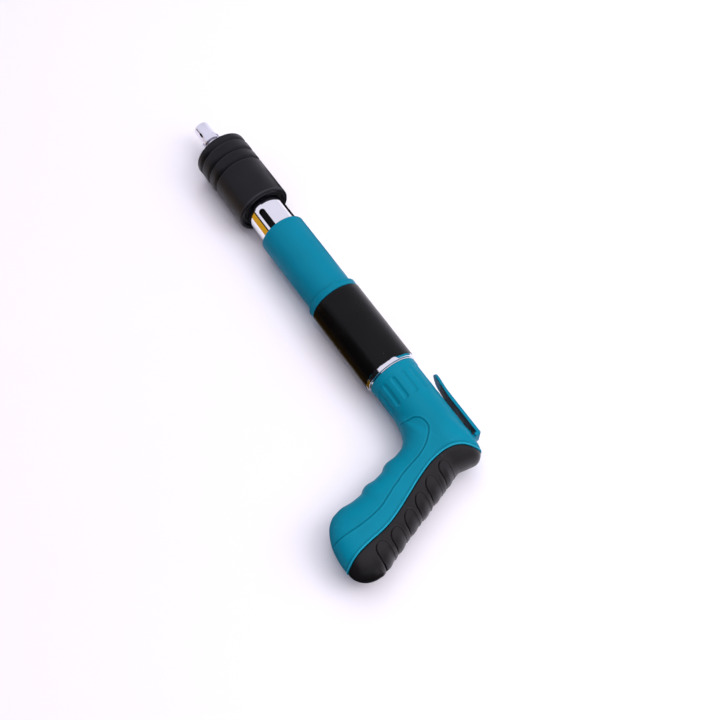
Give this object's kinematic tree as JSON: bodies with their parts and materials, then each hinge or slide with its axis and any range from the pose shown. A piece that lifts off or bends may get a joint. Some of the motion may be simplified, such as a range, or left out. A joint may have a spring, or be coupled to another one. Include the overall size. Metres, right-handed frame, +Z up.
{
  "type": "push-actuated hand nailer",
  "caption": "Pistol-grip hand nailer with a sliding sprung barrel, black silencer sleeve, wrapped striker tube, ridged rubber grip and belt clip, lying on its side.",
  "frame": {"origin": "on the surface the tool lies on, under the middle of its bounding box", "axes": "+X along the barrel, out of the muzzle; +Y from the barrel axis towards the grip; +Z up, square to the plane of barrel and grip"},
  "size_m": [0.3831, 0.1354, 0.043],
  "materials": {
    "chrome": "mirror polished chrome plate",
    "steel": "turned steel",
    "dark_steel": "black oxide",
    "spring_steel": "drawn wire",
    "teal_paint": "satin teal paint on metal",
    "teal_plastic": "satin moulded teal plastic",
    "wrap_film": "plain glossy black wrap with no print",
    "sleeve_rubber": "soft satin black",
    "grip_rubber": "soft black grip rubber",
    "rubber": "matte black seal rubber"
  },
  "bodies": {
    "housing": {"front_tube": "teal_paint", "wiper_seal": "rubber", "guide_key": "steel", "collar_ring": "teal_paint", "body_tube": "chrome", "body_wrap": "wrap_film", "trip_ring": "steel", "rear_plug": "steel", "main_spring": "spring_steel", "handle_shell_left": "teal_plastic", "handle_shell_right": "teal_plastic", "grip_pad": "grip_rubber", "collar_screw": "dark_steel", "shell_screw_1": "dark_steel", "shell_screw_2": "dark_steel", "shell_screw_3": "dark_steel", "shell_screw_4": "dark_steel"},
    "barrel": {"muzzle_tube": "chrome", "muzzle_ring": "steel", "front_sleeve": "sleeve_rubber", "muffler_core": "dark_steel", "sleeve_bush": "rubber", "barrel_tube": "chrome", "breech_block": "steel", "pin_retainer": "steel", "pin_spring": "spring_steel"},
    "firing_pin": {"firing_pin": "steel"},
    "hammer": {"hammer": "steel", "return_spring": "spring_steel"},
    "trip_block": {"trip_block": "steel"},
    "belt_clip": {"belt_clip": "teal_plastic"}
  },
  "joints": [
    {"name": "barrel_slide", "type": "slide", "parent": "housing", "child": "barrel", "axis": [-1, 0, 0], "range_m": [0, 0.022], "stiffness_N_per_m": 2500, "springref_m": -0.008},
    {"name": "hammer_slide", "type": "slide", "parent": "housing", "child": "hammer", "axis": [-1, 0, 0], "range_m": [0, 0.022], "deforming": ["main_spring"]},
    {"name": "pin_slide", "type": "slide", "parent": "barrel", "child": "firing_pin", "axis": [1, 0, 0], "range_m": [0, 0.003], "stiffness_N_per_m": 400, "springref_m": -0.002, "deforming": ["pin_spring", "return_spring"]},
    {"name": "trip_slide", "type": "slide", "parent": "hammer", "child": "trip_block", "axis": [0, -1, 0], "range_m": [0, 0.0022]},
    {"name": "clip_flex", "type": "hinge", "parent": "housing", "child": "belt_clip", "pos_m": [-0.1483, -0.0587, 0.0215], "axis": [0, 0, -1], "range_deg": [-2, 6], "stiffness_Nm_per_rad": 6}
  ],
  "couplings": [
    {"joint": "hammer_slide", "follows": "barrel_slide", "ratio": 1},
    {"joint": "trip_slide", "follows": "barrel_slide", "ratio": 0.1}
  ]
}
